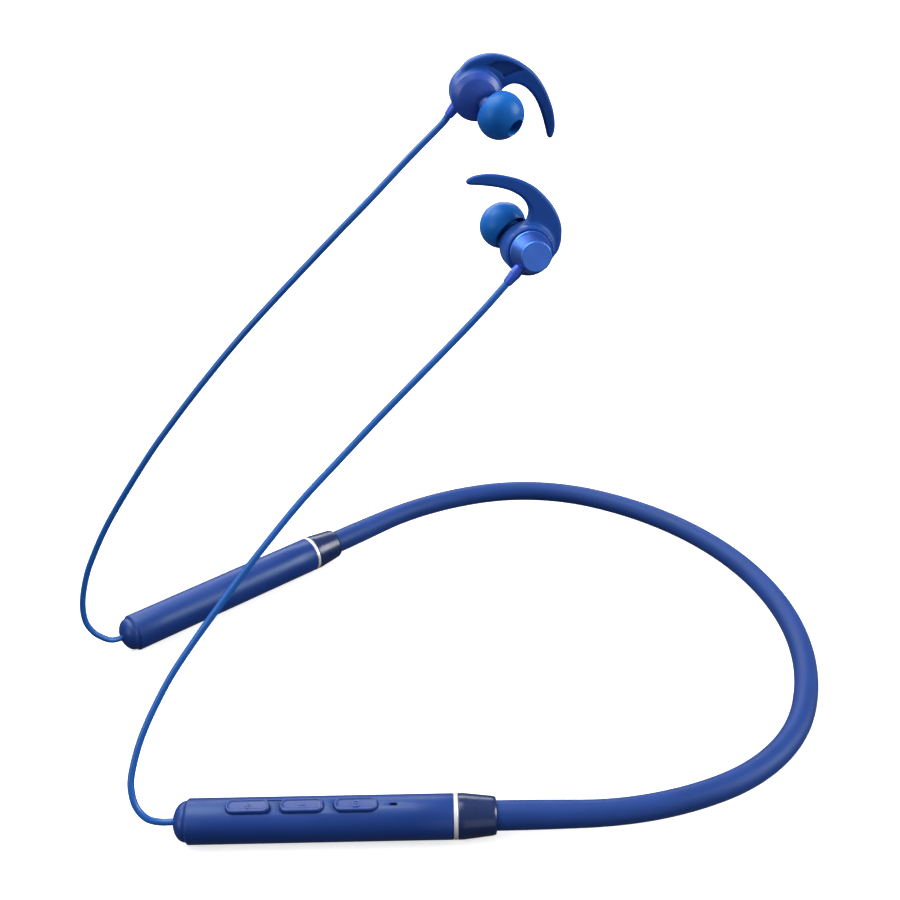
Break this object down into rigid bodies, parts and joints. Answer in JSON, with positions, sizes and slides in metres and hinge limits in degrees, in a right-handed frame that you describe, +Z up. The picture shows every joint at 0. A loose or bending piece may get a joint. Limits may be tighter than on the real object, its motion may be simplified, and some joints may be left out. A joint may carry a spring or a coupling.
{
  "type": "neckband earphones",
  "caption": "Flexible neckband with a control pod, a battery pod and corded in-ear buds with soft tips and fins.",
  "frame": {"origin": "inner face of the neck tube at the nape, on the tube's mid plane", "axes": "+X out behind the neck, so the pods point towards -X; +Y towards the wearer's right, where the battery pod is; +Z up"},
  "size_m": [0.2243, 0.181, 0.1903],
  "materials": {
    "silicone_blue": "matte silicone",
    "steel": "plain steel",
    "harness_black": "matte",
    "collar_navy": "satin",
    "ring_silver": "bright",
    "pod_blue": "soft matte",
    "button_blue": "satin",
    "inner_grey": "moulded",
    "board_green": "solder mask",
    "membrane_clear": "clear silicone",
    "cell_wrap": "shrink wrap over metal",
    "pad_black": "foam",
    "lead_red": "wire insulation",
    "cable_blue": "smooth",
    "metal_blue": "spun and anodised",
    "boot_blue": "soft",
    "magnet_nickel": "nickel plated",
    "tip_blue": "soft, slightly clear"
  },
  "bodies": {
    "neckband": {"nape_tube": "silicone_blue", "left_flex_tube": "silicone_blue", "right_flex_tube": "silicone_blue", "memory_wire": "steel", "signal_harness": "harness_black"},
    "control_arm": {"left_arm_tube": "silicone_blue", "control_collar": "collar_navy", "control_ring": "ring_silver", "control_shell": "pod_blue", "control_end_cap": "pod_blue", "control_chassis": "inner_grey", "control_board": "board_green", "button_switches": "steel", "button_membrane": "membrane_clear", "radio_shield": "steel", "microphone": "steel", "charging_port": "steel", "left_cable_anchor": "inner_grey"},
    "battery_arm": {"right_arm_tube": "silicone_blue", "battery_collar": "collar_navy", "battery_ring": "ring_silver", "battery_shell": "pod_blue", "battery_end_cap": "pod_blue", "battery_cell": "cell_wrap", "cell_pads": "pad_black", "protection_board": "board_green", "battery_leads": "lead_red", "right_cable_anchor": "inner_grey"},
    "volume_up": {"volume_up_button": "button_blue"},
    "volume_down": {"volume_down_button": "button_blue"},
    "power": {"power_button": "button_blue"},
    "charging_cover": {"port_cover": "silicone_blue"},
    "left_bud": {"left_cable": "cable_blue", "left_bud_cup": "metal_blue", "left_bud_front": "collar_navy", "left_driver": "inner_grey", "left_magnet": "magnet_nickel", "left_nozzle_mesh": "steel", "left_boot": "boot_blue"},
    "left_tip": {"left_ear_tip": "tip_blue"},
    "left_fin": {"left_ear_fin": "silicone_blue"},
    "right_bud": {"right_cable": "cable_blue", "right_bud_cup": "metal_blue", "right_bud_front": "collar_navy", "right_driver": "inner_grey", "right_magnet": "magnet_nickel", "right_nozzle_mesh": "steel", "right_boot": "boot_blue"},
    "right_tip": {"right_ear_tip": "tip_blue"},
    "right_fin": {"right_ear_fin": "silicone_blue"}
  },
  "joints": [
    {"name": "left_arm_flex", "type": "hinge", "parent": "neckband", "child": "control_arm", "pos_m": [-0.0413, -0.0806, 0], "axis": [0, 0, 1], "range_deg": [-6, 20], "stiffness_Nm_per_rad": 0.15, "deforming": ["left_flex_tube", "memory_wire", "signal_harness"]},
    {"name": "right_arm_flex", "type": "hinge", "parent": "neckband", "child": "battery_arm", "pos_m": [-0.0413, 0.0806, 0], "axis": [0, 0, -1], "range_deg": [-6, 20], "stiffness_Nm_per_rad": 0.15, "deforming": ["right_flex_tube", "memory_wire", "signal_harness"]},
    {"name": "volume_up_press", "type": "slide", "parent": "control_arm", "child": "volume_up", "axis": [0.0659, 0.1791, -0.9816], "range_m": [0, 0.0003], "stiffness_N_per_m": 800},
    {"name": "volume_down_press", "type": "slide", "parent": "control_arm", "child": "volume_down", "axis": [0.0659, 0.1791, -0.9816], "range_m": [0, 0.0003], "stiffness_N_per_m": 800},
    {"name": "power_press", "type": "slide", "parent": "control_arm", "child": "power", "axis": [0.0659, 0.1791, -0.9816], "range_m": [0, 0.0003], "stiffness_N_per_m": 800},
    {"name": "charging_cover_open", "type": "hinge", "parent": "control_arm", "child": "charging_cover", "pos_m": [-0.14233, -0.06109, -0.00234], "axis": [-0.9385, 0.3453, 0], "range_deg": [0, 100], "stiffness_Nm_per_rad": 0.001},
    {"name": "left_bud_swing", "type": "hinge", "parent": "control_arm", "child": "left_bud", "pos_m": [-0.20562, -0.04369, 0], "axis": [0, 0, -1], "range_deg": [-8, 30], "stiffness_Nm_per_rad": 0.005, "deforming": ["left_cable"]},
    {"name": "right_bud_swing", "type": "hinge", "parent": "battery_arm", "child": "right_bud", "pos_m": [-0.20562, 0.04369, 0], "axis": [0, 0, 1], "range_deg": [-8, 30], "stiffness_Nm_per_rad": 0.005, "deforming": ["right_cable"]},
    {"name": "left_tip_slide", "type": "slide", "parent": "left_bud", "child": "left_tip", "axis": [-0.3317, 0.8307, 0.4471], "range_m": [0, 0.0065]},
    {"name": "left_fin_turn", "type": "hinge", "parent": "left_bud", "child": "left_fin", "pos_m": [-0.0985, -0.025, 0.1389], "axis": [-0.1761, -0.9786, 0.1061], "range_deg": [-20, 20]},
    {"name": "right_tip_slide", "type": "slide", "parent": "right_bud", "child": "right_tip", "axis": [0.4156, -0.7916, -0.448], "range_m": [0, 0.0065]},
    {"name": "right_fin_turn", "type": "hinge", "parent": "right_bud", "child": "right_fin", "pos_m": [-0.1049, -0.0058, 0.1744], "axis": [0.2427, 0.9651, 0.0982], "range_deg": [-20, 20]}
  ]
}
